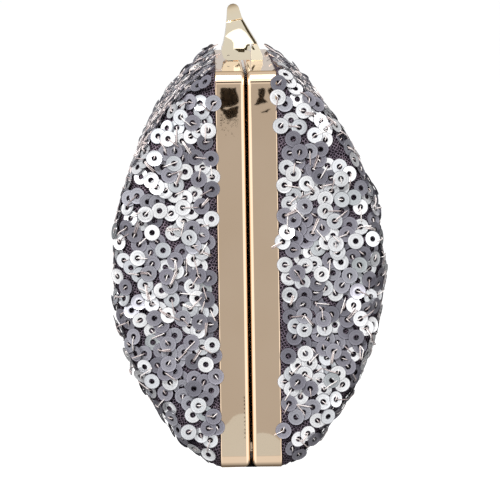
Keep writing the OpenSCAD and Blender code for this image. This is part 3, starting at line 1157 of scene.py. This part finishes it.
def make_walls(name, body, side, materials):
    """Net cloth, foam and lining of one half."""
    net = skin_piece(f"{name}_net_cloth", -0.2, 0.45, CLOTH_RIM, side, materials["net"])
    dress(net, body, "sequin_cloth", f"{name}_sequin_cloth")
    foam = skin_piece(f"{name}_foam", 0.43, 0.52, TRAY_RIM, side, materials["foam"], 64, 60)
    dress(foam, body, "underlay_foam", f"{name}_underlay")
    lining = skin_piece(f"{name}_satin", 2.75, 0.45, TRAY_RIM, side, materials["satin"])
    wrinkle(lining, 0.5)
    dress(lining, body, "lining_satin", f"{name}_lining")


# -------- camera, light and floor

FLOOR_Z = -36.0
FLOOR_HALF = 12000
MIRROR_LEAN = 0.0588


def turn_to(item, look, roll=0.0):
    """Points a camera's or light's own -z along look, rolled about it by some degrees."""
    item.rotation_mode = "QUATERNION"
    item.rotation_quaternion = Quaternion(look, radians(roll)) @ look.to_track_quat("-Z", "Y")


def make_camera():
    data = bpy.data.cameras.new("camera")
    data.lens = 300
    data.sensor_width = 36
    data.clip_start = 0.05
    data.clip_end = 50
    camera = new_object("camera", data)
    camera.location = (1.09, -0.0082, 0.131)
    turn_to(camera, Vector((-1, 0.0086, -0.0780)).normalized(), 0.86)
    bpy.context.scene.camera = camera


def area_light(name, place, target, size, power):
    data = bpy.data.lights.new(name, "AREA")
    data.shape = "RECTANGLE"
    data.size, data.size_y = size
    data.energy = power
    light = new_object(name, data)
    light.location = place
    turn_to(light, Vector(target) - Vector(place))
    light.visible_camera = False


def make_world():
    """White to the camera. In mirrors, mid grey ahead and white above and at the sides, with a thin
    dark line just over the horizon, and dim low down behind. As diffuse light, a dim even fill."""
    world = bpy.data.worlds.new("studio")
    bpy.context.scene.world = world
    world.use_nodes = True
    tree = world.node_tree
    tree.nodes.clear()
    output = tree.nodes.new("ShaderNodeOutputWorld")
    x, y, z = split(add(tree, "TexCoord", out="Generated"))
    side = maths("ABSOLUTE", y)
    sky = largest(span(z, 0.02, 0.36, 0.05, 1.0), span(side, 0.08, 0.30, 0.0, 0.75))
    level_back = product(span(x, -0.93, -0.97, 0.0, 0.16), span(side, 0.06, 0.04), span(z, 0.16, 0.13))
    high_back = span(z, 0.55, 0.75, 0.0, 0.24)
    below = product(span(z, -0.12, -0.30, 0.0, 0.36), span(x, 0.0, 0.4))
    bright = largest(product(sky, span(x, -0.12, 0.25)), level_back, high_back, below)
    line = product(span(z, 0.210, 0.225), span(z, 0.420, 0.405), span(x, 0.84, 0.90, 0.0, 0.95))
    dim = product(span(x, -0.1, -0.4, 0.0, 0.62), span(z, 0.50, 0.30), span(level_back, 0.0, 0.1, 1.0, 0.0))
    clear = maths("SUBTRACT", 1.0, largest(line, dim))
    mirrored = product(span(bright, 0.0, 1.0, 0.565, 1.9), clear)
    spread = span(bright, 0.0, 1.0, 0.08, 0.20)
    glossy = add(tree, "LightPath", out="Is Glossy Ray")
    level = add(tree, "Mix", {"Factor": glossy, "A": spread, "B": mirrored})
    glow = add(tree, "Background", {"Strength": level})
    plain = add(tree, "Background", {"Strength": 1.0, "Color": (1, 1, 1, 1)})
    seen = add(tree, "LightPath", out="Is Camera Ray")
    plug(output.inputs["Surface"], add(tree, "MixShader", {0: seen, 1: glow, 2: plain}))


def flat_piece(name, across, deep, z, material):
    """A level rectangle about the middle, with these half sizes."""
    verts = [(-across, -deep, z), (across, -deep, z), (across, deep, z), (-across, deep, z)]
    piece = mesh_piece(name, verts, [(0, 1, 2, 3)], material)
    return piece


def make_stage():
    """A pale floor, low enough for the opened half to swing clear of it, a narrow black strip of painted
    contact shadow under the frame's middle, reflector cards and soft lights."""
    tree, shader, material = new_material("pale_floor")
    tone = noise(object_coords(tree), 0.002)
    colour = ramp(tone, [(0.3, (0.32, 0.32, 0.32)), (0.7, (0.35, 0.35, 0.35))])
    set_shader(shader, colour, 0.9, Emission_Color=(1, 1, 1, 1))
    seen = add(tree, "LightPath", out="Is Camera Ray")
    plug(shader.inputs["Emission Strength"], span(seen, 0.0, 1.0, 0.06, 0.92))
    flat_piece("floor", FLOOR_HALF, FLOOR_HALF, FLOOR_Z, material).visible_glossy = False
    # Painted shadow: a black strip under the gap between the halves, standing in for the shade beneath the
    # bag.
    tree, shader, material = new_material("painted_contact_shadow")
    tone = noise(object_coords(tree), 0.2)
    colour = ramp(tone, [(0.3, (0.004, 0.003, 0.003)), (0.7, (0.01, 0.008, 0.006))])
    set_shader(shader, colour, 0.9)
    flat_piece("painted_shadow_strip", 87, 1.3, 0, material)
    make_dark_cards()
    make_bright_cards()
    area_light("overhead", (0.65, 0, 1.45), (0, 0, 0.05), (0.9, 1.0), 10)
    area_light("key", (1.15, -0.45, 1.15), (0.05, 0, 0.05), (0.26, 0.26), 26)
    area_light("left", (0.5, -1.4, 0.45), (0, 0, 0.05), (0.8, 0.8), 3.5)
    area_light("right", (0.5, 1.4, 0.45), (0, 0, 0.05), (0.8, 0.8), 3.5)


def mirror_card(name, shapes, facing, distance, material):
    """Flat cards that a polished face with the normal facing mirrors to the camera at the given
    spots. The camera itself doesn't see them."""
    eye = Vector(bpy.context.scene.camera.location) / MM
    verts = []
    faces = []
    for shape in shapes:
        faces.append(tuple(range(len(verts), len(verts) + len(shape))))
        for spot in shape:
            sight = (Vector(spot) - eye).normalized()
            verts.append(Vector(spot) + distance * sight.reflect(facing))
    card = mesh_piece(name, verts, faces, material)
    with editing(card) as work:
        bmesh.ops.reverse_faces(work, faces=[f for f in work.faces if f.normal.dot(facing) > 0])
    card.visible_camera = False
    card.visible_diffuse = False
    card.visible_shadow = False


def end_card(name, outlines, distance, material):
    """Cards mirrored at outlines, as (y, z), on the frame's near end."""
    spots = [[(HALF_LENGTH, y, z) for y, z in outline] for outline in outlines]
    mirror_card(name, spots, Vector((1, 0, 0)), distance, material)


def lever_card(name, outlines, distance, material):
    """Cards mirrored at outlines, as (y, height above the rail), on the lever's leaning near end."""
    spots = [[(11.32 - MIRROR_LEAN * (t + 1), y, FRAME_HEIGHT + t) for y, t in outline]
             for outline in outlines]
    leaning = Vector((1.0, -CREASE_SLOPE * MIRROR_LEAN, MIRROR_LEAN)).normalized()
    mirror_card(name, spots, leaning, distance, material)


def ragged(outline, dice):
    """An outline whose edges are broken up by small random steps."""
    points = []
    for start, end in zip(outline, outline[1:] + outline[:1]):
        count = max(1, round(dist(start, end) / 0.6))
        for t in (k / count for k in range(count)):
            points.append(tuple(a + (b - a) * t + dice.uniform(-0.17, 0.17) for a, b in zip(start, end)))
    return points


def make_dark_cards():
    """Small dark cards in front of the near end. The camera doesn't see them, but the polished
    end of the frame mirrors them high on each half."""
    tree, shader, material = new_material("dark_card")
    tone = noise(object_coords(tree), 0.8, 3.0)
    colour = ramp(tone, [(0.35, (0.016, 0.012, 0.008)), (0.75, (0.10, 0.08, 0.06))])
    set_shader(shader, colour, 0.8)
    dice = random.Random(5)
    block = [(-6.2, 92.0), (-2.3, 92.2), (-2.0, 90.8), (-1.6, 88.4), (-3.4, 87.4), (-6.3, 87.2)]
    tails = [(-6.5, 87.2), (-4.8, 86.9), (-1.7, 87.7), (-2.1, 84.9), (-4.4, 84.6)]
    bell = [(2.9, 91.7), (4.6, 91.9), (4.3, 89.4), (5.3, 88.5), (2.0, 87.8), (3.0, 89.7)]
    wing = [(5.1, 91.6), (6.8, 92.3), (6.8, 89.1), (5.5, 90.2)]
    dart = [(3.3, 85.9), (5.8, 86.9), (4.9, 86.1)]
    shapes = [ragged(outline, dice) for outline in (block, tails, bell, wing, dart)]
    for _ in range(120):
        y = dice.uniform(-6.3, -1.9)
        z = 85.8 - abs(dice.gauss(0, 1.9))
        size = dice.uniform(0.08, 0.2)
        shapes.append([(y - size, z), (y, z - size * 0.8), (y + size, z), (y, z + size * 0.8)])
    for dash in range(11):
        z = 7.5 + dash * 0.95 + dice.uniform(-0.2, 0.2)
        tall = dice.uniform(0.25, 0.6)
        shapes.append([(-1.36, z), (-1.66, z + 0.2), (-1.62, z + tall), (-1.38, z + tall + 0.2)])
    end_card("dark_cards", shapes, 59.0, material)


def card_material(name, colour, strength):
    """A glowing card seen from its front only."""
    tree, shader, material = new_material(name)
    tone = noise(object_coords(tree), 0.1)
    shade = ramp(tone, [(0.3, (0.01, 0.01, 0.01)), (0.7, (0.03, 0.03, 0.03))])
    set_shader(shader, shade, 0.8, Emission_Color=(*colour, 1), Emission_Strength=strength,
               Specular_IOR_Level=0.0)
    away = add(tree, "NewGeometry", out="Backfacing")
    sides = {0: away, 1: shader.outputs["BSDF"], 2: add(tree, "BsdfTransparent")}
    output = next(n for n in tree.nodes if n.type == "OUTPUT_MATERIAL")
    plug(output.inputs["Surface"], add(tree, "MixShader", sides))
    return material


def make_bright_cards():
    """Cards that the polished metal mirrors: a white one down the middle of the lever's leaning
    end, a dark strip along its sloping edge, and pale ones low on the frame's end."""
    patch = [(-4.5, 6.3), (-3.6, 7.2), (-2.4, 7.9), (-1.0, 8.3), (-0.3, 8.2), (0.9, 7.2), (2.0, 5.7),
             (2.9, 4.4), (1.6, 4.3), (1.0, 3.0), (-2.4, 2.9), (-2.4, 4.6), (-2.9, 5.4)]
    edge = [(-0.1, 10.9), (1.75, 7.6), (3.7, 4.3), (3.1, 4.3), (1.2, 7.4), (-0.6, 10.9)]
    notch = [(-2.4, 3.15), (-1.2, 2.4), (1.0, 2.3), (1.15, 3.3), (1.35, 3.8), (2.0, 3.9), (1.4, 4.3),
             (0.9, 3.95), (0.65, 3.4), (0.2, 3.1)]
    left = [(-7.6, -1.0), (-7.6, 9.5), (-5.4, 11.3), (-4.2, 12.7), (-3.0, 13.2), (-1.0, 13.5), (-1.0, -1.0)]
    right = [(1.0, -1.0), (1.0, 8.4), (1.7, 8.6), (2.9, 8.7), (4.5, 8.4), (5.8, 7.7), (6.8, 6.8),
             (7.6, 6.0), (7.6, -1.0)]
    white = card_material("bright_card", (1.0, 1.0, 1.0), 1.5)
    dark = card_material("edge_card", (0.05, 0.04, 0.02), 1.0)
    pale = card_material("pale_card", (0.80, 0.88, 0.93), 0.80)
    lever_card("bright_card", [patch], 25.0, white)
    lever_card("edge_card", [edge, notch], 24.0, dark)
    end_card("pale_cards", [left, right], 60.0, pale)


def finish_cad_nodes(materials):
    """Procedural materials for the CAD nodes that stay in view, by how their names end."""
    endings = {"gold": ("_chain_eye", "_hinge_leaf"), "board": ("_shell",),
               "steel": ("_pin", "_screws", "_spring", "_rivets")}
    for name, node in cad_nodes.items():
        for key, ends in endings.items():
            if name.endswith(ends):
                node.data.materials.clear()
                node.data.materials.append(materials[key])


# -------- build

bpy.context.scene.view_settings.view_transform = "Standard"
make_camera()
make_world()
make_stage()
shared = {
    "gold": gold_material("pale_gold", (0.95, 0.73, 0.53), (0.91, 0.69, 0.49), 0.022, 0.010, 0.10),
    "clasp_gold": gold_material("clasp_gold", (1.0, 0.90, 0.71), (0.97, 0.86, 0.66), 0.015, 0.004,
                                0.12, crease=True),
    "steel": steel_material(),
    "silver": silver_sequin_material(),
    "lilac": lilac_sequin_material(),
    "thread": thread_material("sewing_thread", (0.30, 0.24, 0.24), (0.66, 0.57, 0.55), (0.96, 0.91, 0.89)),
    "grey_thread": thread_material("grey_thread", (0.34, 0.33, 0.36), (0.5, 0.49, 0.52), (0.6, 0.59, 0.62)),
    "net": net_material(),
    "foam": foam_material(),
    "board": board_material(),
    "satin": satin_material(),
}
finish_cad_nodes(shared)
make_metal(shared)
for number, (half, half_body, sign) in enumerate(HALVES):
    make_walls(half, half_body, sign, shared)
    make_sequins(half, half_body, sign, 40 + number, shared)
make_pocket(shared)
